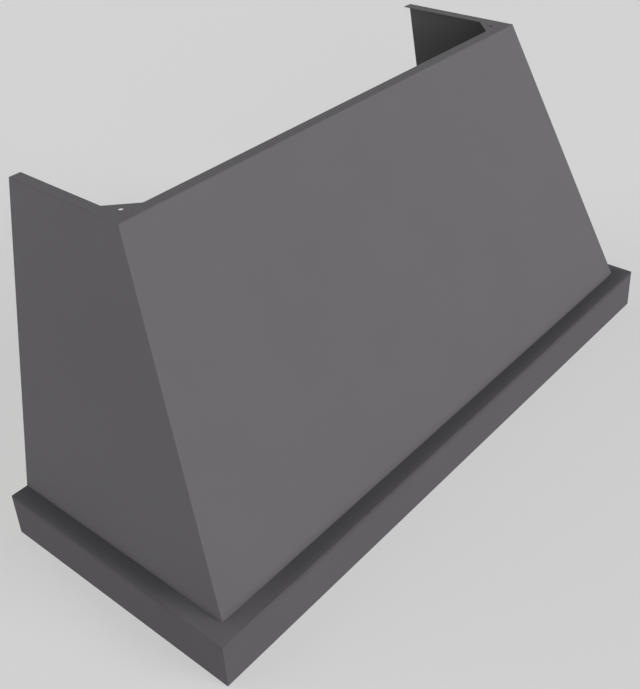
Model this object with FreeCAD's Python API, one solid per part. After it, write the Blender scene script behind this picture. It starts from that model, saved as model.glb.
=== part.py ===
import FreeCAD, Part
import math
import os

from FreeCAD import Placement, Rotation, Vector

# Painted wooden range hood cover: three tapering panels on a plain apron, open at the back and the top.
# Millimetres. The origin is the centre of the footprint at the bottom rim. +X is the right side seen from
# the front, the front faces -Y, the wall is on the +Y side and +Z is up.

# Outside sizes
WIDTH = 1524.0  # across the apron, 60 in
DEPTH = 609.6  # wall to apron front, 24 in
HEIGHT = 762.0  # bottom rim to the top of the tie plate, 30 in
APRON_HEIGHT = 101.6
LEDGE = 38.1  # flat step from the apron's face in to the panels, front and sides
TOP_WIDTH = 1219.2  # across the top, 48 in
TOP_DEPTH = 304.8  # wall to front at the top, 12 in

# Panels, mitred where they meet at the front corners
PANEL_THICKNESS = 12.7
SCRIBE_LIP = 3.175  # what is left of a side panel's back edge, to be trimmed to the wall
SCRIBE_WIDTH = 9.525

# Tie plate on top of the panels: a thin steel U with a gusset in each front corner
PLATE_THICKNESS = 1.6
FLANGE_WIDTH = 25.4
GUSSET_LEG = 76.2  # from the outer edge to the far end of the gusset's slanted edge
HANGER_HOLE_INSET = 38.1  # from both outer edges to the hole's centre
HANGER_HOLE_RADIUS = 4.7625

# Apron and the level base frame that the panels stand on
APRON_THICKNESS = 19.05
BASE_THICKNESS = 19.05
BASE_FRONT_WIDTH = 88.9
BASE_SIDE_WIDTH = 88.9
BASE_BACK_WIDTH = 63.5
LINER_RAIL_SIZE = 38.1  # square rails under the base frame

# Framing inside the panels
TOP_RAIL_DROP = 19.05  # from the tie plate down to the top rail
TOP_RAIL_HEIGHT = 63.5
TOP_RAIL_THICKNESS = 19.05
RIB_NAMES = ("left", "middle", "right")
RIB_SPACING = 381.0
RIB_THICKNESS = 19.05
RIB_DEPTH = 38.1
CORNER_STRIP_LEG = 38.1
BLOCK_LENGTH = 76.2
BLOCK_HEIGHT = 25.4
BLOCK_WIDTH = 25.4
BLOCK_SCREW_EDGE = 7.6  # from a glue block's inner edge to its screw
SIDE_BLOCK_COUNT = 2

# Wall rail, which carries the cover on the wall
WALL_RAIL_BOTTOM = 444.5
WALL_RAIL_HEIGHT = 88.9
WALL_RAIL_THICKNESS = 19.05
END_BLOCK_WIDTH = 19.05
END_BLOCK_DEPTH = 38.1
STUD_SPACING = 406.4  # 16 in
WALL_HOLE_RADIUS = 3.5
WALL_HOLE_EDGE = 6.35  # least distance from a hole's centre to an end block

# Pilot holes for the screws of an insert's flange
LINER_HOLE_RADIUS = 1.6
LINER_HOLE_DEPTH = 25.4
LINER_HOLES_ACROSS = 1016.0  # in the front and back rails
LINER_HOLES_ALONG = 254.0  # in the side rails

# Countersunk screws: (shank radius, head radius)
WOOD_SCREW = (2.1, 4.2)
PLATE_SCREW = (1.4, 2.8)
PLATE_SCREW_LENGTH = 12.7
SCREW_BITE = 12.7  # how far a screw goes into the second board
DEEP_BITE = 31.75  # the same, into a rib's foot or an end block
SCREW_CLEARANCE = 0.1  # around the shank and past the tip
DRIVE_WIDTH = 2.4  # square recess in the head
DRIVE_DEPTH = 1.8
POINT_LENGTH = 5.0
RAIL_SCREW_COUNT = 5  # through the front and back rails, up into the base frame
SIDE_RAIL_SCREW_COUNT = 3
WALL_RAIL_SCREW_COUNT = 2  # at each end
PLATE_SCREW_COUNT = 4  # along the front flange, between the gussets
SIDE_PLATE_SCREW_COUNT = 2

# Places that follow from the sizes above
FRONT_Y = -DEPTH / 2
WALL_Y = DEPTH / 2
FOOT_HALF = WIDTH / 2 - LEDGE  # half width of the panels at their foot
FOOT_Y = FRONT_Y + LEDGE
TOP_Y = WALL_Y - TOP_DEPTH
PLATE_BOTTOM = HEIGHT - PLATE_THICKNESS
SIDE_ANGLE = math.atan((FOOT_HALF - TOP_WIDTH / 2) / (HEIGHT - APRON_HEIGHT))
FRONT_ANGLE = math.atan((TOP_Y - FOOT_Y) / (HEIGHT - APRON_HEIGHT))
APRON_HALF = WIDTH / 2 - APRON_THICKNESS  # half width inside the apron
APRON_Y = FRONT_Y + APRON_THICKNESS
BASE_BOTTOM = APRON_HEIGHT - BASE_THICKNESS
LINER_RAIL_BOTTOM = BASE_BOTTOM - LINER_RAIL_SIZE
TOP_RAIL_TOP = PLATE_BOTTOM - TOP_RAIL_DROP
TOP_RAIL_BOTTOM = TOP_RAIL_TOP - TOP_RAIL_HEIGHT
BASE_Z = (BASE_BOTTOM, APRON_HEIGHT)
BASE_SIDE_Y = (APRON_Y + BASE_FRONT_WIDTH, WALL_Y - BASE_BACK_WIDTH)
LINER_RAIL_Z = (LINER_RAIL_BOTTOM, BASE_BOTTOM)
LINER_SIDE_Y = (APRON_Y + LINER_RAIL_SIZE, WALL_Y - LINER_RAIL_SIZE)
WALL_RAIL_Z = (WALL_RAIL_BOTTOM, WALL_RAIL_BOTTOM + WALL_RAIL_HEIGHT)

# Middle lines of the liner rails
FRONT_RAIL_Y = APRON_Y + LINER_RAIL_SIZE / 2
BACK_RAIL_Y = WALL_Y - LINER_RAIL_SIZE / 2
SIDE_RAIL_X = APRON_HALF - LINER_RAIL_SIZE / 2
RAIL_MIDDLE_Z = BASE_BOTTOM - LINER_RAIL_SIZE / 2

LEFT = -1
RIGHT = 1
UP = Vector(0, 0, 1)
DOWN = Vector(0, 0, -1)
FORWARD = Vector(0, -1, 0)


def side_x(inset, z):
    """Half width at height z of the sloping plane that lies `inset` inside a side panel's outer face."""
    return FOOT_HALF - (z - APRON_HEIGHT) * math.tan(SIDE_ANGLE) - inset / math.cos(SIDE_ANGLE)


def front_y(inset, z):
    """Y at height z of the sloping plane that lies `inset` inside the front panel's outer face."""
    return FOOT_Y + (z - APRON_HEIGHT) * math.tan(FRONT_ANGLE) + inset / math.cos(FRONT_ANGLE)


def taper(outline, low, high):
    """Solid between two levels; outline(z) gives its corners (x, y) at height z."""
    bottom = [Vector(x, y, low) for x, y in outline(low)]
    top = [Vector(x, y, high) for x, y in outline(high)]
    loops = [bottom, top]
    for i in range(len(bottom)):
        loops.append([bottom[i - 1], bottom[i], top[i], top[i - 1]])
    faces = [Part.Face(Part.makePolygon(loop + loop[:1])) for loop in loops]
    shell = Part.makeShell(faces)
    shell.sewShape()
    solid = Part.makeSolid(shell)
    if solid.Volume < 0:
        solid.reverse()
    return solid


def board(x, y, z):
    """Square-edged board; x, y and z are each its (low, high) places."""
    return Part.makeBox(x[1] - x[0], y[1] - y[0], z[1] - z[0], Vector(x[0], y[0], z[0]))


def side_board(side, x, y, z):
    """Board on the left or right; x is its (inner, outer) distance from the middle."""
    across = sorted([side * x[0], side * x[1]])
    return board(across, y, z)


def spread(low, high, count):
    """Middles of `count` equal stretches between low and high."""
    step = (high - low) / count
    return [low + step * (i + 0.5) for i in range(count)]


def between(low, high, count):
    """Places that divide the stretch from low to high into `count` equal lengths, without its ends."""
    return [low + (high - low) * i / count for i in range(1, count)]


# Screws


def turned(profile, place, direction):
    """Solid turned from a profile of (radius, depth) about the line from `place` along `direction`."""
    points = [Vector(radius, 0, depth) for radius, depth in profile]
    half = Part.Face(Part.makePolygon(points + points[:1]))
    solid = half.revolve(Vector(0, 0, 0), Vector(0, 0, 1), 360)
    solid.Placement = Placement(place, Rotation(Vector(0, 0, 1), direction))
    return solid


def screw(size, length, place, direction, driven=True):
    """Flat-head screw whose head is level with the surface at `place`."""
    shank, head = size
    profile = [(0, 0), (head, 0), (shank, head - shank), (shank, length - POINT_LENGTH), (0, length)]
    solid = turned(profile, place, direction)
    if driven:
        recess = Part.makeBox(
            DRIVE_WIDTH, DRIVE_WIDTH, DRIVE_DEPTH, Vector(-DRIVE_WIDTH / 2, -DRIVE_WIDTH / 2, 0)
        )
        recess.Placement = Placement(place, Rotation(Vector(0, 0, 1), direction))
        solid = solid.cut(recess)
    return solid


def screw_hole(size, length, place, direction):
    """Countersunk hole for such a screw."""
    shank, head = size
    hole = shank + SCREW_CLEARANCE
    end = length + SCREW_CLEARANCE
    return turned([(0, 0), (head, 0), (hole, head - hole), (hole, end), (0, end)], place, direction)


def liner_rail_screws():
    """Up through the liner rails into the base frame."""
    places = []
    for x in spread(-APRON_HALF, APRON_HALF, RAIL_SCREW_COUNT):
        places += [(x, FRONT_RAIL_Y), (x, BACK_RAIL_Y)]
    for y in spread(*LINER_SIDE_Y, SIDE_RAIL_SCREW_COUNT):
        places += [(side * SIDE_RAIL_X, y) for side in (LEFT, RIGHT)]
    length = LINER_RAIL_SIZE + SCREW_BITE
    return [(WOOD_SCREW, length, Vector(x, y, LINER_RAIL_BOTTOM), UP) for x, y in places]


def apron_screws():
    """Out through the liner rails into the apron, halfway between the upright screws."""
    screws = []
    length = LINER_RAIL_SIZE + SCREW_BITE
    for x in between(-APRON_HALF, APRON_HALF, RAIL_SCREW_COUNT):
        place = Vector(x, APRON_Y + LINER_RAIL_SIZE, RAIL_MIDDLE_Z)
        screws.append((WOOD_SCREW, length, place, FORWARD))
    for side in (LEFT, RIGHT):
        for y in between(*LINER_SIDE_Y, SIDE_RAIL_SCREW_COUNT):
            place = Vector(side * (APRON_HALF - LINER_RAIL_SIZE), y, RAIL_MIDDLE_Z)
            screws.append((WOOD_SCREW, length, place, Vector(side, 0, 0)))
    return screws


def base_screws():
    """Up through the base frame into the glue blocks and the front ribs."""
    screws = []
    behind = front_y(PANEL_THICKNESS, APRON_HEIGHT)
    beside = side_x(PANEL_THICKNESS, APRON_HEIGHT)
    from_panel = BLOCK_WIDTH - BLOCK_SCREW_EDGE
    length = BASE_THICKNESS + SCREW_BITE
    for x in front_block_places():
        place = Vector(x, behind + from_panel, BASE_BOTTOM)
        screws.append((WOOD_SCREW, length, place, UP))
    for side in (LEFT, RIGHT):
        for y in side_block_places():
            place = Vector(side * (beside - from_panel), y, BASE_BOTTOM)
            screws.append((WOOD_SCREW, length, place, UP))
    for x in rib_places():
        place = Vector(x, behind + RIB_DEPTH / math.cos(FRONT_ANGLE) / 2, BASE_BOTTOM)
        screws.append((WOOD_SCREW, BASE_THICKNESS + DEEP_BITE, place, UP))
    return screws


def wall_rail_screws():
    """Through the ends of the wall rail into the end blocks."""
    screws = []
    length = WALL_RAIL_THICKNESS + DEEP_BITE
    for side in (LEFT, RIGHT):
        for z in spread(*WALL_RAIL_Z, WALL_RAIL_SCREW_COUNT):
            x = side_x(PANEL_THICKNESS, z) - END_BLOCK_WIDTH / 2
            screws.append((WOOD_SCREW, length, Vector(side * x, WALL_Y, z), FORWARD))
    return screws


def tie_plate_screws():
    """Down through the tie plate into the panels' top edges.

    A screw is upright and its panel leans, so it is centred in the panel a quarter of the way down: that
    leaves wood round its point and steel between its head and the plate's edge.
    """
    centred = PLATE_BOTTOM - PLATE_SCREW_LENGTH / 4
    across = TOP_WIDTH / 2 - GUSSET_LEG
    y = front_y(PANEL_THICKNESS / 2, centred)
    places = [(x, y) for x in spread(-across, across, PLATE_SCREW_COUNT)]
    x = side_x(PANEL_THICKNESS / 2, centred)
    for y in spread(TOP_Y + GUSSET_LEG, WALL_Y, SIDE_PLATE_SCREW_COUNT):
        places += [(side * x, y) for side in (LEFT, RIGHT)]
    return [(PLATE_SCREW, PLATE_SCREW_LENGTH, Vector(x, y, HEIGHT), DOWN) for x, y in places]


def drilled(piece, screws):
    """The piece with a countersunk hole for each of the screws that reaches it."""
    for one in screws:
        hole = screw_hole(*one)
        if hole.BoundBox.intersect(piece.BoundBox):
            piece = piece.cut(hole)
    return piece


def bored(piece, radius, places, direction, depth):
    """The piece with plain round holes."""
    for place in places:
        piece = piece.cut(Part.makeCylinder(radius, depth, place, direction))
    return piece


# Panels


def front_panel():
    def outline(z):
        outer, inner = side_x(0, z), side_x(PANEL_THICKNESS, z)
        face, back = front_y(0, z), front_y(PANEL_THICKNESS, z)
        return [(-outer, face), (outer, face), (inner, back), (-inner, back)]

    return taper(outline, APRON_HEIGHT, PLATE_BOTTOM)


def side_panel(side):
    def outline(z):
        outer, inner = side * side_x(0, z), side * side_x(PANEL_THICKNESS, z)
        face, back = front_y(0, z), front_y(PANEL_THICKNESS, z)
        return [(outer, face), (outer, WALL_Y), (inner, WALL_Y), (inner, back)]

    def rabbet(z):
        lip, inner = side * side_x(SCRIBE_LIP, z), side * side_x(PANEL_THICKNESS, z)
        near = WALL_Y - SCRIBE_WIDTH
        return [(lip, near), (lip, WALL_Y), (inner, WALL_Y), (inner, near)]

    panel = taper(outline, APRON_HEIGHT, PLATE_BOTTOM)
    return panel.cut(taper(rabbet, APRON_HEIGHT, PLATE_BOTTOM))


def top_tie_plate():
    def outline(z):
        outer, face = side_x(0, z), front_y(0, z)
        inner = TOP_WIDTH / 2 - FLANGE_WIDTH
        gusset = TOP_WIDTH / 2 - GUSSET_LEG
        right = [(gusset, TOP_Y + FLANGE_WIDTH), (inner, TOP_Y + GUSSET_LEG), (inner, WALL_Y)]
        left = [(-x, y) for x, y in reversed(right)]
        return [(-outer, WALL_Y), (-outer, face), (outer, face), (outer, WALL_Y)] + right[::-1] + left[::-1]

    plate = taper(outline, PLATE_BOTTOM, HEIGHT)
    across = TOP_WIDTH / 2 - HANGER_HOLE_INSET
    places = [Vector(side * across, TOP_Y + HANGER_HOLE_INSET, HEIGHT) for side in (LEFT, RIGHT)]
    return bored(plate, HANGER_HOLE_RADIUS, places, DOWN, PLATE_THICKNESS)


# Apron and base


def apron_front_board():
    def outline(z):
        outer = WIDTH / 2
        return [(-outer, FRONT_Y), (outer, FRONT_Y), (APRON_HALF, APRON_Y), (-APRON_HALF, APRON_Y)]

    return taper(outline, 0, APRON_HEIGHT)


def apron_side_board(side):
    def outline(z):
        outer, inner = side * WIDTH / 2, side * APRON_HALF
        return [(outer, FRONT_Y), (outer, WALL_Y), (inner, WALL_Y), (inner, APRON_Y)]

    return taper(outline, 0, APRON_HEIGHT)


def base_front_board():
    return board((-APRON_HALF, APRON_HALF), (APRON_Y, BASE_SIDE_Y[0]), BASE_Z)


def base_back_rail():
    return board((-APRON_HALF, APRON_HALF), (BASE_SIDE_Y[1], WALL_Y), BASE_Z)


def base_side_board(side):
    return side_board(side, (APRON_HALF - BASE_SIDE_WIDTH, APRON_HALF), BASE_SIDE_Y, BASE_Z)


def liner_cross_rail(y):
    """Rail across the front or back, with two pilot holes from below."""
    near, far = y - LINER_RAIL_SIZE / 2, y + LINER_RAIL_SIZE / 2
    rail = board((-APRON_HALF, APRON_HALF), (near, far), LINER_RAIL_Z)
    places = [Vector(side * LINER_HOLES_ACROSS / 2, y, LINER_RAIL_BOTTOM) for side in (LEFT, RIGHT)]
    return bored(rail, LINER_HOLE_RADIUS, places, UP, LINER_HOLE_DEPTH)


def liner_side_rail(side):
    rail = side_board(side, (APRON_HALF - LINER_RAIL_SIZE, APRON_HALF), LINER_SIDE_Y, LINER_RAIL_Z)
    middle = sum(LINER_SIDE_Y) / 2
    ends = (middle - LINER_HOLES_ALONG / 2, middle + LINER_HOLES_ALONG / 2)
    places = [Vector(side * SIDE_RAIL_X, y, LINER_RAIL_BOTTOM) for y in ends]
    return bored(rail, LINER_HOLE_RADIUS, places, UP, LINER_HOLE_DEPTH)


# Framing inside


def top_front_rail():
    def outline(z):
        half = side_x(PANEL_THICKNESS, z)
        face, back = front_y(PANEL_THICKNESS, z), front_y(PANEL_THICKNESS + TOP_RAIL_THICKNESS, z)
        return [(-half, face), (half, face), (half, back), (-half, back)]

    return taper(outline, TOP_RAIL_BOTTOM, TOP_RAIL_TOP)


def rib_places():
    half = RIB_SPACING * len(RIB_NAMES) / 2
    return spread(-half, half, len(RIB_NAMES))


def front_rib(middle):
    def outline(z):
        left, right = middle - RIB_THICKNESS / 2, middle + RIB_THICKNESS / 2
        face, back = front_y(PANEL_THICKNESS, z), front_y(PANEL_THICKNESS + RIB_DEPTH, z)
        return [(left, face), (right, face), (right, back), (left, back)]

    return taper(outline, APRON_HEIGHT, TOP_RAIL_BOTTOM)


def corner_strip(side):
    """Three-cornered strip glued into the corner behind a mitre."""

    def outline(z):
        x, y = side_x(PANEL_THICKNESS, z), front_y(PANEL_THICKNESS, z)
        return [(side * x, y), (side * (x - CORNER_STRIP_LEG), y), (side * x, y + CORNER_STRIP_LEG)]

    return taper(outline, APRON_HEIGHT, TOP_RAIL_BOTTOM)


def front_block_places():
    """Midway between the ribs, and as far outside the outer two."""
    count = len(RIB_NAMES) + 1
    half = RIB_SPACING * count / 2
    return spread(-half, half, count)


def side_block_places():
    return between(front_y(PANEL_THICKNESS, APRON_HEIGHT), WALL_Y, SIDE_BLOCK_COUNT + 1)


def front_glue_block(middle):
    def outline(z):
        left, right = middle - BLOCK_LENGTH / 2, middle + BLOCK_LENGTH / 2
        face = front_y(PANEL_THICKNESS, z)
        back = front_y(PANEL_THICKNESS, APRON_HEIGHT) + BLOCK_WIDTH
        return [(left, face), (right, face), (right, back), (left, back)]

    return taper(outline, APRON_HEIGHT, APRON_HEIGHT + BLOCK_HEIGHT)


def side_glue_block(side, middle):
    def outline(z):
        outer = side * side_x(PANEL_THICKNESS, z)
        inner = side * (side_x(PANEL_THICKNESS, APRON_HEIGHT) - BLOCK_WIDTH)
        near, far = middle - BLOCK_LENGTH / 2, middle + BLOCK_LENGTH / 2
        return [(inner, near), (outer, near), (outer, far), (inner, far)]

    return taper(outline, APRON_HEIGHT, APRON_HEIGHT + BLOCK_HEIGHT)


# Wall rail


def stud_places():
    """As many studs as the rail reaches clear of its end blocks, evenly about the middle."""
    reach = side_x(PANEL_THICKNESS, WALL_RAIL_Z[1]) - END_BLOCK_WIDTH - WALL_HOLE_EDGE
    count = int(2 * reach / STUD_SPACING) + 1
    half = STUD_SPACING * count / 2
    return spread(-half, half, count)


def wall_rail():
    def outline(z):
        half = side_x(PANEL_THICKNESS, z)
        face = WALL_Y - WALL_RAIL_THICKNESS
        return [(-half, face), (half, face), (half, WALL_Y), (-half, WALL_Y)]

    rail = taper(outline, *WALL_RAIL_Z)
    places = [Vector(x, WALL_Y, sum(WALL_RAIL_Z) / 2) for x in stud_places()]
    return bored(rail, WALL_HOLE_RADIUS, places, FORWARD, WALL_RAIL_THICKNESS)


def wall_rail_end_block(side):
    def outline(z):
        outer = side * side_x(PANEL_THICKNESS, z)
        inner = side * (side_x(PANEL_THICKNESS, z) - END_BLOCK_WIDTH)
        back = WALL_Y - WALL_RAIL_THICKNESS
        face = back - END_BLOCK_DEPTH
        return [(inner, face), (outer, face), (outer, back), (inner, back)]

    return taper(outline, *WALL_RAIL_Z)


# The whole cover

pieces = {
    "front_panel": front_panel(),
    "left_side_panel": side_panel(LEFT),
    "right_side_panel": side_panel(RIGHT),
    "top_tie_plate": top_tie_plate(),
    "apron_front_board": apron_front_board(),
    "apron_left_board": apron_side_board(LEFT),
    "apron_right_board": apron_side_board(RIGHT),
    "base_front_board": base_front_board(),
    "base_left_board": base_side_board(LEFT),
    "base_right_board": base_side_board(RIGHT),
    "base_back_rail": base_back_rail(),
    "liner_rail_front": liner_cross_rail(FRONT_RAIL_Y),
    "liner_rail_back": liner_cross_rail(BACK_RAIL_Y),
    "liner_rail_left": liner_side_rail(LEFT),
    "liner_rail_right": liner_side_rail(RIGHT),
    "top_front_rail": top_front_rail(),
    "corner_strip_left": corner_strip(LEFT),
    "corner_strip_right": corner_strip(RIGHT),
    "wall_rail": wall_rail(),
    "wall_rail_block_left": wall_rail_end_block(LEFT),
    "wall_rail_block_right": wall_rail_end_block(RIGHT),
}
for rib_name, rib_middle in zip(RIB_NAMES, rib_places()):
    pieces["front_rib_" + rib_name] = front_rib(rib_middle)

groups = {
    "front_glue_blocks": [front_glue_block(x) for x in front_block_places()],
    "left_glue_blocks": [side_glue_block(LEFT, y) for y in side_block_places()],
    "right_glue_blocks": [side_glue_block(RIGHT, y) for y in side_block_places()],
}

screw_sets = {
    "liner_rail_screws": liner_rail_screws(),
    "apron_screws": apron_screws(),
    "base_screws": base_screws(),
    "wall_rail_screws": wall_rail_screws(),
    "tie_plate_screws": tie_plate_screws(),
}
all_screws = sum(screw_sets.values(), [])

shapes = {name: drilled(piece, all_screws) for name, piece in pieces.items()}
for name, blocks in groups.items():
    shapes[name] = Part.makeCompound([drilled(block, all_screws) for block in blocks])
for name, screws in screw_sets.items():
    driven = name != "tie_plate_screws"  # these heads are filled and painted over
    shapes[name] = Part.makeCompound([screw(*one, driven=driven) for one in screws])

os.makedirs("parts", exist_ok=True)
for name, shape in shapes.items():
    shape.exportStep("parts/" + name + ".step")
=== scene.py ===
import bpy
import math
from mathutils import Matrix, Vector


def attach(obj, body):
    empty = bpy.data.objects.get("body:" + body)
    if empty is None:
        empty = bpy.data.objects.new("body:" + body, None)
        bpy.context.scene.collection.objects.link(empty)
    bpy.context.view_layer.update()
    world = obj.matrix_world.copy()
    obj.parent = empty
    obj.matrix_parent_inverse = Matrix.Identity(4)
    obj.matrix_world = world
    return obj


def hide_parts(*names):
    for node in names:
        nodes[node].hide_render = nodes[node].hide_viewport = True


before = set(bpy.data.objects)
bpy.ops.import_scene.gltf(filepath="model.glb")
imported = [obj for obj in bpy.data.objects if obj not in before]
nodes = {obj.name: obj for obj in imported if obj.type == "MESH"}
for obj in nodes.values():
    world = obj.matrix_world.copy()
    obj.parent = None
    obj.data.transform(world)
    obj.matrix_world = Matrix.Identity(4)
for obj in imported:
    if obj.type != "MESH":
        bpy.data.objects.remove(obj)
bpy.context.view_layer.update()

# Painted wooden range hood cover. All lengths are in metres. The origin is under its middle, the front
# faces -Y, and the wall is on the +Y side.
WIDTH = 1.524
DEPTH = 0.6096
APRON_HEIGHT = 0.1016
LEDGE = 0.0381  # from the apron's rim to the foot of the panels
PANEL_TOP = 0.762
TOP_HALF = 0.6096  # half the front panel's width at its top, which lies above the origin
PANEL = 0.0127  # plywood of the three panels
BOARD = 0.01905  # plywood of the apron boards, the back rail and the wall rail

WALL_Y = DEPTH / 2
APRON_Y = -DEPTH / 2
FOOT_HALF = WIDTH / 2 - LEDGE
FOOT_Y = APRON_Y + LEDGE
RISE = PANEL_TOP - APRON_HEIGHT
FRONT_LEAN = math.atan(-FOOT_Y / RISE)
SIDE_LEAN = math.atan((FOOT_HALF - TOP_HALF) / RISE)

FRONT = Vector((0, -1, 0))
BACK = Vector((0, 1, 0))
UP = Vector((0, 0, 1))
DOWN = Vector((0, 0, -1))
ACROSS = Vector((1, 0, 0))
LEFT, RIGHT = -1, 1

PANELS = ("front_panel", "left_side_panel", "right_side_panel")
APRON = ("apron_front_board", "apron_left_board", "apron_right_board")
BASE = ("base_front_board", "base_left_board", "base_right_board")
RIBS = ("front_rib_left", "front_rib_middle", "front_rib_right")


def outward(side):
    return Vector((side, 0, 0))


front_facing = Vector((0, -math.cos(FRONT_LEAN), math.sin(FRONT_LEAN)))


def side_facing(side):
    return Vector((side * math.cos(SIDE_LEAN), 0, math.sin(SIDE_LEAN)))


# Colours and materials


def linear(code):
    """sRGB hex colour as the linear values that the shaders take."""
    values = [int(code[i:i + 2], 16) / 255 for i in (1, 3, 5)]
    return [v / 12.92 if v <= 0.04045 else ((v + 0.055) / 1.055) ** 2.4 for v in values] + [1.0]


def add(tree, kind, settings=None, links=None):
    """Adds a node. A setting is one of its properties or an input's value, a link feeds an input."""
    node = tree.nodes.new(kind)
    for key, value in (settings or {}).items():
        if isinstance(key, str) and hasattr(node, key):
            setattr(node, key, value)
        else:
            node.inputs[key].default_value = value
    for key, socket in (links or {}).items():
        tree.links.new(socket, node.inputs[key])
    return node


def new_material(name):
    made = bpy.data.materials.new(name)
    made.use_nodes = True
    return made, made.node_tree, made.node_tree.nodes["Principled BSDF"]


# Painted shade: where the lacquer's colour is darkened to stand in for shade
CORNER_SHADE_DARKEST = 0.3 * LEDGE  # on the ledge the painted shade is darkest up to here from the panels' foot
CORNER_SHADE_GONE = 1.5 * LEDGE  # and would be gone from here on
FINGER = 0.014  # a finger's breadth, for the apron's rim and the panels' foot
WEAK_SHADE_UNTIL = 1.2 * LEDGE  # the painted shade is weakest up to here from the panels' front left corner
FULL_SHADE_FROM = 5 * LEDGE  # and full from here on
WEAK_SHADE_SHARE = 0.2  # how much of the painted shade is left near that corner
SHADE_GROWS_UNTIL = 1.2  # from that corner the painted shade grows slowly until this far
SHADE_GROWTH_START = 0.74  # how much of the painted shade that slow growth keeps at that corner


def painted_shade_from_front_left(tree, place):
    """How much of the painted shade is kept along the ledge: least round the front left corner, nearly all
    of it a hand's span on, and all of it at the far end."""
    # Painted shade: how much of it is kept grows with the distance from the panels' front left corner.
    first_foot = (-FOOT_HALF, FOOT_Y, APRON_HEIGHT)
    along = add(tree, "ShaderNodeVectorMath", {"operation": "DISTANCE", 1: first_foot},
                {0: place}).outputs["Value"]
    soon = add(tree, "ShaderNodeMapRange",
               {"interpolation_type": "SMOOTHSTEP", "From Min": WEAK_SHADE_UNTIL, "From Max": FULL_SHADE_FROM,
                "To Min": WEAK_SHADE_SHARE}, {"Value": along}).outputs["Result"]
    later = add(tree, "ShaderNodeMapRange",
                {"From Min": 0.0, "From Max": SHADE_GROWS_UNTIL, "To Min": SHADE_GROWTH_START},
                {"Value": along}).outputs["Result"]
    return add(tree, "ShaderNodeMath", {"operation": "MULTIPLY"}, {0: soon, 1: later}).outputs[0]


def painted_shade_below_the_panels(tree, place):
    """Painted shade on the ledge: darkest in the corner under the panels, and less towards the ledge's rim."""
    at = add(tree, "ShaderNodeSeparateXYZ", {}, {0: place})
    aside = add(tree, "ShaderNodeMath", {"operation": "ABSOLUTE"}, {0: at.outputs["X"]}).outputs[0]
    beside = add(tree, "ShaderNodeMath", {"operation": "SUBTRACT", 1: FOOT_HALF},
                 {0: aside}).outputs[0]
    before = add(tree, "ShaderNodeMath", {"operation": "SUBTRACT", 0: FOOT_Y},
                 {1: at.outputs["Y"]}).outputs[0]
    out = add(tree, "ShaderNodeMath", {"operation": "MAXIMUM"}, {0: beside, 1: before}).outputs[0]
    # Painted shade on the ledge: darkest next to the panels' foot, gone towards the rim.
    corner_shade = add(tree, "ShaderNodeMapRange",
              {"interpolation_type": "SMOOTHSTEP", "From Min": CORNER_SHADE_DARKEST, "From Max": CORNER_SHADE_GONE,
               "To Min": 1.0, "To Max": 0.0}, {"Value": out}).outputs["Result"]
    return add(tree, "ShaderNodeMath", {"operation": "MULTIPLY"},
               {0: corner_shade, 1: painted_shade_from_front_left(tree, place)}).outputs[0]


def painted_shade_below_the_rim(tree, place):
    """Painted shade on the apron: darkest at its rim, next to the ledge, and 0 a finger's breadth lower."""
    height = add(tree, "ShaderNodeSeparateXYZ", {}, {0: place}).outputs["Z"]
    # Painted shade: the apron darkens towards its rim.
    drawn = add(tree, "ShaderNodeMapRange",
                {"From Min": APRON_HEIGHT - FINGER, "From Max": APRON_HEIGHT},
                {"Value": height}).outputs["Result"]
    return add(tree, "ShaderNodeMath", {"operation": "MULTIPLY"},
               {0: drawn, 1: painted_shade_from_front_left(tree, place)}).outputs[0]


def painted_shade_at_the_panels_foot(tree, place):
    """Painted shade on the panels: 1 where they meet the ledge, 0 a finger's breadth higher."""
    height = add(tree, "ShaderNodeSeparateXYZ", {}, {0: place}).outputs["Z"]
    # Painted shade: the panels darken towards their foot.
    return add(tree, "ShaderNodeMapRange",
               {"interpolation_type": "SMOOTHSTEP", "From Min": APRON_HEIGHT,
                "From Max": APRON_HEIGHT + FINGER, "To Min": 1.0, "To Max": 0.0},
               {"Value": height}).outputs["Result"]


def painted_shade_far_from_the_wall(tree, place):
    """Painted shade inside the cover: 0 at the open back, and 1 from the middle to the front, deeper
    inside."""
    # Painted shade: the inside darkens towards the front.
    back = add(tree, "ShaderNodeSeparateXYZ", {}, {0: place}).outputs["Y"]
    return add(tree, "ShaderNodeMapRange",
               {"From Min": 0.0, "From Max": WALL_Y, "To Min": 1.0, "To Max": 0.0},
               {"Value": back}).outputs["Result"]


FILM_DRIFT = 0.18  # about a hand's span
CLOUD = 0.025  # how wide the clouds in its shine and the long waves in its film are
SHINE_DRIFT = 0.05  # how far its roughness strays either way


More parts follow.
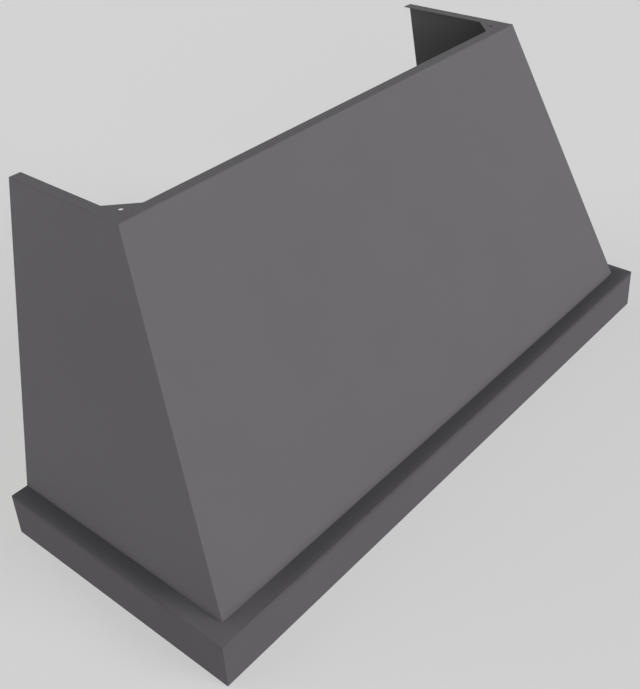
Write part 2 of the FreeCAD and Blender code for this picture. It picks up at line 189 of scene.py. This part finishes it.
def matt_lacquer(name, pale, deep, roughness, peel, shade_where=None, shade_tone=None):
    """Sprayed matt lacquer. It is even, its film drifts a shade over a hand's span, and a faint orange peel
    (`peel` metres across) breaks up the little shine it has. Where the given mask says, its colour is
    darkened towards the given darker tone, as painted shade."""
    made, tree, shader = new_material(name)
    place = add(tree, "ShaderNodeTexCoord").outputs["Object"]
    film = add(tree, "ShaderNodeTexNoise", {"Scale": 1 / FILM_DRIFT, "Detail": 3.0},
               {"Vector": place})
    coat = add(tree, "ShaderNodeMix", {"data_type": "RGBA", 6: linear(pale), 7: linear(deep)},
               {0: film.outputs["Fac"]}).outputs[2]
    # Painted shade: the colour is darkened towards the darker tone where the mask says.
    if shade_where:
        coat = add(tree, "ShaderNodeMix", {"data_type": "RGBA", 7: linear(shade_tone)},
                   {0: shade_where(tree, place), 6: coat}).outputs[2]
    mist = add(tree, "ShaderNodeTexNoise", {"Scale": 1 / CLOUD, "Detail": 4.0}, {"Vector": place})
    shine = add(tree, "ShaderNodeMapRange",
                {"To Min": roughness - SHINE_DRIFT, "To Max": roughness + SHINE_DRIFT},
                {"Value": mist.outputs["Fac"]})
    dimples = add(tree, "ShaderNodeTexNoise", {"Scale": 1 / peel, "Detail": 1.0}, {"Vector": place})
    waves = add(tree, "ShaderNodeBump", {"Strength": 0.12, "Distance": 0.0006},
                {"Height": mist.outputs["Fac"]})
    skin = add(tree, "ShaderNodeBump", {"Strength": 0.2, "Distance": 0.00008},
               {"Height": dimples.outputs["Fac"], "Normal": waves.outputs["Normal"]})
    tree.links.new(coat, shader.inputs["Base Color"])
    tree.links.new(shine.outputs["Result"], shader.inputs["Roughness"])
    tree.links.new(skin.outputs["Normal"], shader.inputs["Normal"])
    shader.inputs["IOR"].default_value = 1.45
    shader.inputs["Specular IOR Level"].default_value = 0.15
    return made


# Patterns in wood. A wave texture of scale 1 repeats after WAVE metres. The triples are stretches along
# the grain, across it and through the board.
WAVE = 0.314
GROWTH_LINES = 0.007
LINES_STRETCH = (0.1, 1, 1)
STREAKS = (1.5, 40, 40)  # 25 mm wide
POPLAR_FIBRES = (9, 550, 550)  # 2 mm wide, coarser than real ones, so that they show
FLAME = 0.03  # how wide the figure of rotary-cut veneer is
FLAME_STRETCH = (0.22, 1, 1)
BIRCH_FIBRES = (14, 480, 480)  # 2 mm wide, also coarser than real ones
EDGE_BELOW = 0.6  # a face whose direction has less than this of the sheet's own is one of its edges


def laid_along(grain, facing):
    """The turn that lays a pattern's X along the grain and its Z in the direction the face looks in."""
    return tuple(Matrix((grain, facing.cross(grain), facing)).to_euler())


def poplar(name, grain, facing, pith):
    """Planed poplar. It is a pale cream yellow with soft growth lines, faint olive streaks and short
    darker fibres. The lines are drawn 7 mm apart, wider than they grow, so that they show from a few
    steps away. `pith` moves the middle of the growth rings off the piece, so that its sides show lines and
    its ends arcs."""
    made, tree, shader = new_material(name)
    place = add(tree, "ShaderNodeTexCoord").outputs["Object"]
    board = add(tree, "ShaderNodeMapping",
                {"Rotation": laid_along(grain, facing), "Location": pith},
                {"Vector": place}).outputs[0]
    slow = add(tree, "ShaderNodeMapping", {"Scale": LINES_STRETCH}, {"Vector": board}).outputs[0]
    rings = add(tree, "ShaderNodeTexWave",
                {"wave_type": "RINGS", "rings_direction": "X", "Scale": WAVE / GROWTH_LINES,
                 "Distortion": 6.0, "Detail": 2.0, "Detail Scale": 0.25}, {"Vector": slow})
    ring = add(tree, "ShaderNodeMix",
               {"data_type": "RGBA", 6: linear("#E4D7B2"), 7: linear("#D3C397")},
               {0: rings.outputs["Fac"]})
    broad = add(tree, "ShaderNodeMapping", {"Scale": STREAKS}, {"Vector": board}).outputs[0]
    streak = add(tree, "ShaderNodeTexNoise", {"Scale": 1.0, "Detail": 2.0}, {"Vector": broad})
    olive = add(tree, "ShaderNodeMapRange", {"From Min": 0.5, "From Max": 0.8, "To Max": 0.7},
                {"Value": streak.outputs["Fac"]})
    tinted = add(tree, "ShaderNodeMix", {"data_type": "RGBA", 7: linear("#B5AE80")},
                 {0: olive.outputs["Result"], 6: ring.outputs[2]})
    drawn = add(tree, "ShaderNodeMapping", {"Scale": POPLAR_FIBRES}, {"Vector": board}).outputs[0]
    fibre = add(tree, "ShaderNodeTexNoise", {"Scale": 1.0, "Detail": 3.0}, {"Vector": drawn})
    hair = add(tree, "ShaderNodeMapRange", {"From Min": 0.45, "From Max": 0.8, "To Max": 0.45},
               {"Value": fibre.outputs["Fac"]})
    colour = add(tree, "ShaderNodeMix", {"data_type": "RGBA", 7: linear("#A08C60")},
                 {0: hair.outputs["Result"], 6: tinted.outputs[2]})
    relief = add(tree, "ShaderNodeBump", {"Strength": 0.35, "Distance": 0.0002},
                 {"Height": fibre.outputs["Fac"]})
    tree.links.new(colour.outputs[2], shader.inputs["Base Color"])
    tree.links.new(relief.outputs["Normal"], shader.inputs["Normal"])
    shader.inputs["Roughness"].default_value = 0.62
    shader.inputs["IOR"].default_value = 1.5
    return made


def birch_plywood(name, grain, facing, back, plies, thickness):
    """Bare birch plywood. Its faces are cream veneer with a faint, broad, wandering figure. Its edges show
    the plies, pale long grain and tan end grain in turn. `facing` is square to the sheet, and `back` is
    how far along it the sheet starts."""
    made, tree, shader = new_material(name)
    turn = laid_along(grain, facing)
    place = add(tree, "ShaderNodeTexCoord").outputs["Object"]
    board = add(tree, "ShaderNodeMapping", {"Rotation": turn}, {"Vector": place}).outputs[0]
    looks = add(tree, "ShaderNodeNewGeometry").outputs["Normal"]
    turned = add(tree, "ShaderNodeMapping", {"vector_type": "VECTOR", "Rotation": turn},
                 {"Vector": looks})
    square = add(tree, "ShaderNodeSeparateXYZ", {}, {0: turned.outputs[0]}).outputs["Z"]
    level = add(tree, "ShaderNodeMath", {"operation": "ABSOLUTE"}, {0: square}).outputs[0]
    edge = add(tree, "ShaderNodeMath", {"operation": "LESS_THAN", 1: EDGE_BELOW},
               {0: level}).outputs[0]

    figure = add(tree, "ShaderNodeMapping", {"Scale": FLAME_STRETCH}, {"Vector": board}).outputs[0]
    flame = add(tree, "ShaderNodeTexWave",
                {"wave_type": "BANDS", "bands_direction": "Y", "Scale": WAVE / FLAME,
                 "Distortion": 9.0, "Detail": 3.0, "Detail Scale": 0.5}, {"Vector": figure})
    veneer = add(tree, "ShaderNodeMix",
                 {"data_type": "RGBA", 6: linear("#E7D5AF"), 7: linear("#DDC79B")},
                 {0: flame.outputs["Fac"]})
    drawn = add(tree, "ShaderNodeMapping", {"Scale": BIRCH_FIBRES}, {"Vector": board}).outputs[0]
    fibre = add(tree, "ShaderNodeTexNoise", {"Scale": 1.0, "Detail": 3.0}, {"Vector": drawn})
    hair = add(tree, "ShaderNodeMapRange", {"From Min": 0.5, "From Max": 0.8, "To Max": 0.4},
               {"Value": fibre.outputs["Fac"]})
    face = add(tree, "ShaderNodeMix", {"data_type": "RGBA", 7: linear("#BC9D70")},
               {0: hair.outputs["Result"], 6: veneer.outputs[2]})

    height = add(tree, "ShaderNodeSeparateXYZ", {}, {0: board}).outputs["Z"]
    above = add(tree, "ShaderNodeMath", {"operation": "SUBTRACT", 1: back}, {0: height}).outputs[0]
    count = add(tree, "ShaderNodeMath", {"operation": "MULTIPLY", 1: plies / thickness},
                {0: above}).outputs[0]
    pair = add(tree, "ShaderNodeMath", {"operation": "PINGPONG", 1: 1.0}, {0: count}).outputs[0]
    cross = add(tree, "ShaderNodeMapRange", {"From Min": 0.4, "From Max": 0.6}, {"Value": pair})
    layers = add(tree, "ShaderNodeMix",
                 {"data_type": "RGBA", 6: linear("#DEC79B"), 7: linear("#AE8B5C")},
                 {0: cross.outputs["Result"]})
    colour = add(tree, "ShaderNodeMix", {"data_type": "RGBA"},
                 {0: edge, 6: face.outputs[2], 7: layers.outputs[2]})
    relief = add(tree, "ShaderNodeBump", {"Strength": 0.3, "Distance": 0.0002},
                 {"Height": fibre.outputs["Fac"]})
    tree.links.new(colour.outputs[2], shader.inputs["Base Color"])
    tree.links.new(relief.outputs["Normal"], shader.inputs["Normal"])
    shader.inputs["Roughness"].default_value = 0.58
    shader.inputs["IOR"].default_value = 1.5
    return made


ZINC_PATCH = 0.004  # how wide the straw-coloured patches are


def zinc_plate(name):
    """Bright zinc plate on steel screws. It mirrors softly and has a patchy straw tint."""
    made, tree, shader = new_material(name)
    place = add(tree, "ShaderNodeTexCoord").outputs["Object"]
    patch = add(tree, "ShaderNodeTexNoise", {"Scale": 1 / ZINC_PATCH, "Detail": 2.0},
                {"Vector": place})
    tint = add(tree, "ShaderNodeMix",
               {"data_type": "RGBA", 6: linear("#C9CBCC"), 7: linear("#CFC7A6")},
               {0: patch.outputs["Fac"]})
    dull = add(tree, "ShaderNodeMapRange", {"To Min": 0.25, "To Max": 0.42},
               {"Value": patch.outputs["Fac"]})
    tree.links.new(tint.outputs[2], shader.inputs["Base Color"])
    tree.links.new(dull.outputs["Result"], shader.inputs["Roughness"])
    shader.inputs["Metallic"].default_value = 1.0
    return made


MATT, DRY_MATT = 0.7, 0.75
PEEL_ON_WOOD, PEEL_ON_STEEL = 0.0014, 0.0008
# All these are one lacquer. Their first tones differ from part to part only to stand in for how each is
# lit, as lit and shaded copies: the apron's and the inside's darker tones are painted shade. Where a third
# tone is given, it is the darker colour of that part's painted shade.
panel_paint = matt_lacquer("matt lacquer on the panels", "#6E6C6F", "#6A686B", MATT, PEEL_ON_WOOD,
                           painted_shade_at_the_panels_foot, "#626063")
inside_paint = matt_lacquer("lacquer inside, darkened for painted shade", "#626265", "#5E5E61", DRY_MATT, PEEL_ON_WOOD,
                            painted_shade_far_from_the_wall, "#424245")
apron_paint = matt_lacquer("matt lacquer on the apron", "#656366", "#625F63", MATT, PEEL_ON_WOOD,
                           painted_shade_below_the_rim, "#514F52")
ledge_paint = matt_lacquer("matt lacquer on the ledge", "#716F72", "#6D6B6E", MATT, PEEL_ON_WOOD,
                           painted_shade_below_the_panels, "#525053")
steel_paint = matt_lacquer("matt lacquer on sheet steel", "#6A686B", "#676568", MATT,
                           PEEL_ON_STEEL)
zinc = zinc_plate("bright zinc plate")

PITH_BEHIND = (0, 0.03, 0.03)  # for the upright pieces behind the front panel
up_front = Vector((0, math.sin(FRONT_LEAN), math.cos(FRONT_LEAN)))
poplar_across = poplar("poplar, grain across the cover", ACROSS, UP, pith=(0, 0.05, -0.04))
poplar_along = poplar("poplar, grain from front to back", BACK, UP, pith=(0, 0.045, -0.04))
poplar_upright = poplar("poplar, grain up the front panel", up_front, -front_facing, PITH_BEHIND)

BOARD_PLIES, PANEL_PLIES = 13, 9
ply_flat = birch_plywood("birch plywood lying flat", ACROSS, UP, APRON_HEIGHT - BOARD,
                         BOARD_PLIES, BOARD)
ply_upright = birch_plywood("birch plywood standing", ACROSS, BACK, WALL_Y - BOARD,
                            BOARD_PLIES, BOARD)
PANEL_SKIN = FOOT_HALF * math.cos(SIDE_LEAN) + APRON_HEIGHT * math.sin(SIDE_LEAN)
corner_poplar, panel_edge, apron_edge = {}, {}, {}
for side, word in ((LEFT, "left"), (RIGHT, "right")):
    up_corner = front_facing.cross(side_facing(side)).normalized()
    out_of_corner = (front_facing - side_facing(side)).normalized()
    up_side = Vector((-side * math.sin(SIDE_LEAN), 0, math.cos(SIDE_LEAN)))
    corner_poplar[side] = poplar("poplar, grain up the %s corner" % word, up_corner,
                                 out_of_corner, PITH_BEHIND)
    panel_edge[side] = birch_plywood("birch plywood edge, %s panel" % word, up_side,
                                     side_facing(side), PANEL_SKIN - PANEL, PANEL_PLIES, PANEL)
    apron_edge[side] = birch_plywood("birch plywood edge, %s apron board" % word, UP,
                                     outward(side), WIDTH / 2 - BOARD, BOARD_PLIES, BOARD)


def dress(piece, *materials):
    piece.data.materials.clear()
    for one in materials:
        piece.data.materials.append(one)


for name in BASE:
    dress(nodes[name], ledge_paint)
dress(nodes["tie_plate_screws"], steel_paint)
for name in ("liner_rail_screws", "apron_screws", "base_screws", "wall_rail_screws"):
    dress(nodes[name], zinc)


# Boards and panels with sanded edges

SANDED = 0.0012  # radius on the apron's rims
APRON_CORNER = 0.0016
PANEL_CORNER = 0.0014
STROKES = 3  # flat cuts that make one sanded edge
WOOD_EASED = 0.0009
STEEL_EASED = 0.0003
WELD = 0.000005
STILL_FLAT = math.radians(0.3)
SHARP = math.radians(20)
SHORTEST = 0.008  # rims of holes have shorter edges than this


def pick(piece):
    bpy.ops.object.select_all(action="DESELECT")
    piece.select_set(True)
    bpy.context.view_layer.objects.active = piece


def whole_copy(node):
    """A new piece with the CAD node's shape, its loose triangles merged into whole faces."""
    piece = bpy.data.objects.new("finished_" + node, nodes[node].data.copy())
    bpy.context.scene.collection.objects.link(piece)
    pick(piece)
    bpy.ops.object.mode_set(mode="EDIT")
    bpy.ops.mesh.select_all(action="SELECT")
    bpy.ops.mesh.remove_doubles(threshold=WELD)
    bpy.ops.mesh.customdata_custom_splitnormals_clear()
    bpy.ops.mesh.dissolve_limited(angle_limit=STILL_FLAT)
    bpy.ops.mesh.faces_shade_flat()
    bpy.ops.object.mode_set(mode="OBJECT")
    return piece


def sand(piece, place, first, second, radius):
    """Rounds the outside edge through `place` where two flat sides meet; first and second are their
    outward directions. Each stroke is a flat cut that touches the rounding."""
    middle = place - radius * (first + second) / (1 + first.dot(second))
    pick(piece)
    bpy.ops.object.mode_set(mode="EDIT")
    for stroke in range(1, STROKES + 1):
        facing = first.slerp(second, stroke / (STROKES + 1))
        bpy.ops.mesh.select_all(action="SELECT")
        bpy.ops.mesh.bisect(plane_co=middle + radius * facing, plane_no=facing,
                            use_fill=True, clear_outer=True)
    bpy.ops.object.mode_set(mode="OBJECT")


def soften(piece, radius):
    """Bevels the sharp edges that are long enough to be a board's own; rims of holes stay crisp."""
    pick(piece)
    bpy.ops.object.mode_set(mode="EDIT")
    bpy.ops.mesh.select_mode(type="EDGE")
    bpy.ops.mesh.select_all(action="DESELECT")
    bpy.ops.mesh.edges_select_sharp(sharpness=SHARP)
    bpy.ops.object.mode_set(mode="OBJECT")
    mesh = piece.data
    for edge in mesh.edges:
        start, end = [mesh.vertices[i].co for i in edge.vertices]
        if (end - start).length < SHORTEST:
            edge.select = False
    bpy.ops.object.mode_set(mode="EDIT")
    bpy.ops.mesh.bevel(offset=radius, segments=2, affect="EDGES", loop_slide=False)
    bpy.ops.object.mode_set(mode="OBJECT")


def put_in(piece, node, slot, *materials):
    dress(piece, *materials)
    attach(piece, "root")
    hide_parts(node)


apron = {name: whole_copy(name) for name in APRON}
for board in apron.values():
    # The upright corners come last: sanded first, their cuts meet the others in a point that fills
    # twice.
    sand(board, APRON_Y * BACK, FRONT, DOWN, SANDED)
    sand(board, APRON_Y * BACK + APRON_HEIGHT * UP, FRONT, UP, SANDED)
    for side in (LEFT, RIGHT):
        corner = Vector((side * WIDTH / 2, APRON_Y, 0))
        sand(board, corner, outward(side), DOWN, SANDED)
        sand(board, corner + APRON_HEIGHT * UP, outward(side), UP, SANDED)
        sand(board, corner, FRONT, outward(side), APRON_CORNER)

panels = {name: whole_copy(name) for name in PANELS}
for panel in panels.values():
    for side in (LEFT, RIGHT):
        foot = Vector((side * FOOT_HALF, FOOT_Y, APRON_HEIGHT))
        sand(panel, foot, front_facing, side_facing(side), PANEL_CORNER)

for name, board in apron.items():
    put_in(board, name, "painted_wood",
           apron_paint, apron_edge[LEFT], apron_edge[RIGHT], ledge_paint)
for name, panel in panels.items():
    put_in(panel, name, "painted_wood",
           panel_paint, panel_edge[LEFT], panel_edge[RIGHT], inside_paint)

# The apron's top edge is part of the ledge. The side boards' and side panels' edges at the wall are bare
# plywood, and the panels' inner faces take the inside lacquer, whose darker tone is painted shade. A face
# is told by how much of its direction is up, or towards the wall; the front panel's inner face looks less
# squarely at the wall than an edge.
LEFT_EDGE, RIGHT_EDGE, LEDGE_OR_INSIDE = 1, 2, 3
MOSTLY = 0.9
SQUARELY = 0.98
HALFWAY = 0.5
AT_THE_WALL = WALL_Y - 0.0005
for board in apron.values():
    for face in board.data.polygons:
        if face.normal.z > MOSTLY:
            face.material_index = LEDGE_OR_INSIDE
        elif face.normal.y > MOSTLY and face.center.y > AT_THE_WALL:
            face.material_index = LEFT_EDGE if face.center.x < 0 else RIGHT_EDGE
for panel in panels.values():
    for face in panel.data.polygons:
        if face.normal.y > SQUARELY:
            face.material_index = LEFT_EDGE if face.center.x < 0 else RIGHT_EDGE
        elif face.normal.y > HALFWAY or face.center.x * face.normal.x < 0:
            face.material_index = LEDGE_OR_INSIDE

tie_plate = whole_copy("top_tie_plate")
soften(tie_plate, STEEL_EASED)
put_in(tie_plate, "top_tie_plate", "painted_steel", steel_paint)

SOFTENED = (
    ("poplar", poplar_across,
     ("top_front_rail", "liner_rail_front", "liner_rail_back", "front_glue_blocks")),
    ("poplar", poplar_along,
     ("liner_rail_left", "liner_rail_right", "left_glue_blocks", "right_glue_blocks")),
    ("poplar", poplar_upright, RIBS + ("wall_rail_block_left", "wall_rail_block_right")),
    ("poplar", corner_poplar[LEFT], ("corner_strip_left",)),
    ("poplar", corner_poplar[RIGHT], ("corner_strip_right",)),
    ("birch_plywood", ply_upright, ("wall_rail",)),
)
for slot, finish, names in SOFTENED:
    for name in names:
        piece = whole_copy(name)
        soften(piece, WOOD_EASED)
        put_in(piece, name, slot, finish)

# The back rail's ends show on the ledge outside the side panels, so they are painted like the rest of
# it. The paint starts just under the panels' feet.
PAINT_STARTS = FOOT_HALF - 0.003
END_PAINT = 1
back_rail = whole_copy("base_back_rail")
pick(back_rail)
bpy.ops.object.mode_set(mode="EDIT")
for side in (LEFT, RIGHT):
    bpy.ops.mesh.select_all(action="SELECT")
    bpy.ops.mesh.bisect(plane_co=side * PAINT_STARTS * ACROSS, plane_no=ACROSS)
bpy.ops.object.mode_set(mode="OBJECT")
put_in(back_rail, "base_back_rail", "birch_plywood", ply_flat, ledge_paint)
for face in back_rail.data.polygons:
    if face.normal.z > MOSTLY and abs(face.center.x) > PAINT_STARTS:
        face.material_index = END_PAINT


# Floor, backdrop, lamps and camera

PALE = "#D3D3D3"
PAPER = "#969696"
WHITE = (1, 1, 1, 1)
FLOOR_SIZE = 80
FLOOR_LIFT = 0.458  # what the floor adds of its own where the camera, or a reflection, looks at it
SKY_FILL = 0.1  # the light that comes from all round


def seen_directly(tree):
    """1 for what the camera sees or a shiny surface reflects, 0 for light that falls on the cover."""
    path = add(tree, "ShaderNodeLightPath")
    seen = path.outputs["Is Camera Ray"]
    for way in ("Is Glossy Ray", "Is Transmission Ray"):
        seen = add(tree, "ShaderNodeMath", {"operation": "MAXIMUM"},
                   {0: seen, 1: path.outputs[way]}).outputs[0]
    return seen


bpy.ops.object.select_all(action="DESELECT")
bpy.ops.mesh.primitive_plane_add(size=FLOOR_SIZE)
floor = bpy.context.object
floor.name = "studio_floor"
paper = bpy.data.materials.new("pale seamless paper")
paper.use_nodes = True
sheet = paper.node_tree
sheet.nodes.clear()
matt = add(sheet, "ShaderNodeBsdfDiffuse", {"Color": linear(PAPER)})
lift = add(sheet, "ShaderNodeMath", {"operation": "MULTIPLY", 1: FLOOR_LIFT},
           {0: seen_directly(sheet)})
glow = add(sheet, "ShaderNodeEmission", {"Color": WHITE}, {"Strength": lift.outputs[0]})
both = add(sheet, "ShaderNodeAddShader", {}, {0: matt.outputs[0], 1: glow.outputs[0]})
add(sheet, "ShaderNodeOutputMaterial", {}, {"Surface": both.outputs[0]})
floor.data.materials.append(paper)

scene = bpy.context.scene
scene.view_settings.view_transform = "Standard"
studio = bpy.data.worlds.new("studio")
studio.use_nodes = True
scene.world = studio
sky = studio.node_tree
sky.nodes.clear()
fill = add(sky, "ShaderNodeBackground", {"Color": WHITE, "Strength": SKY_FILL})
backdrop = add(sky, "ShaderNodeBackground", {"Color": linear(PALE), "Strength": 1.0})
either = add(sky, "ShaderNodeMixShader", {},
             {0: seen_directly(sky), 1: fill.outputs[0], 2: backdrop.outputs[0]})
add(sky, "ShaderNodeOutputWorld", {}, {"Surface": either.outputs[0]})


def lamp(name, azimuth, elevation, strength, softness):
    """A far, soft lamp. Azimuth is from the front towards the right. The angles are in degrees."""
    light = bpy.data.lights.new(name, "SUN")
    light.energy = strength * math.pi
    light.angle = math.radians(softness)
    body = bpy.data.objects.new(name, light)
    scene.collection.objects.link(body)
    turn, rise = math.radians(azimuth), math.radians(elevation)
    away = Vector((math.sin(turn) * math.cos(rise), -math.cos(turn) * math.cos(rise),
                   math.sin(rise)))
    body.rotation_euler = away.to_track_quat("Z", "Y").to_euler()


LAMPS = (
    # name, azimuth, elevation, strength, softness
    ("low_left", -50, 5, 0.439, 30),
    ("low_front", 0, 10, 0.062, 30),
    ("front_right", 20, 25, 0.559, 30),
    ("back_left", -135, 25, 0.275, 60),
    ("high_back", -160, 40, 0.061, 60),
    ("right", 90, 3, 0.42, 30),
    ("back", 180, 3, 0.55, 30),
)
for one in LAMPS:
    lamp(*one)

# The camera stands in front on the left, at eye height, as in the photograph. Its angles are in degrees.
CAMERA_PLACE = (-1.5113, -1.2671, 1.5702)
CAMERA_TURN = -48.71  # to the right
CAMERA_DOWN = 30.87
CAMERA_ROLL = -2.80
camera = bpy.data.objects.new("camera", bpy.data.cameras.new("camera"))
scene.collection.objects.link(camera)
scene.camera = camera
camera.matrix_world = (
    Matrix.Translation(CAMERA_PLACE)
    @ Matrix.Rotation(math.radians(CAMERA_TURN), 4, "Z")
    @ Matrix.Rotation(math.radians(90 - CAMERA_DOWN), 4, "X")
    @ Matrix.Rotation(math.radians(CAMERA_ROLL), 4, "Z")
)
camera.data.lens = 54.52
camera.data.shift_x = -0.0254
camera.data.shift_y = -0.117
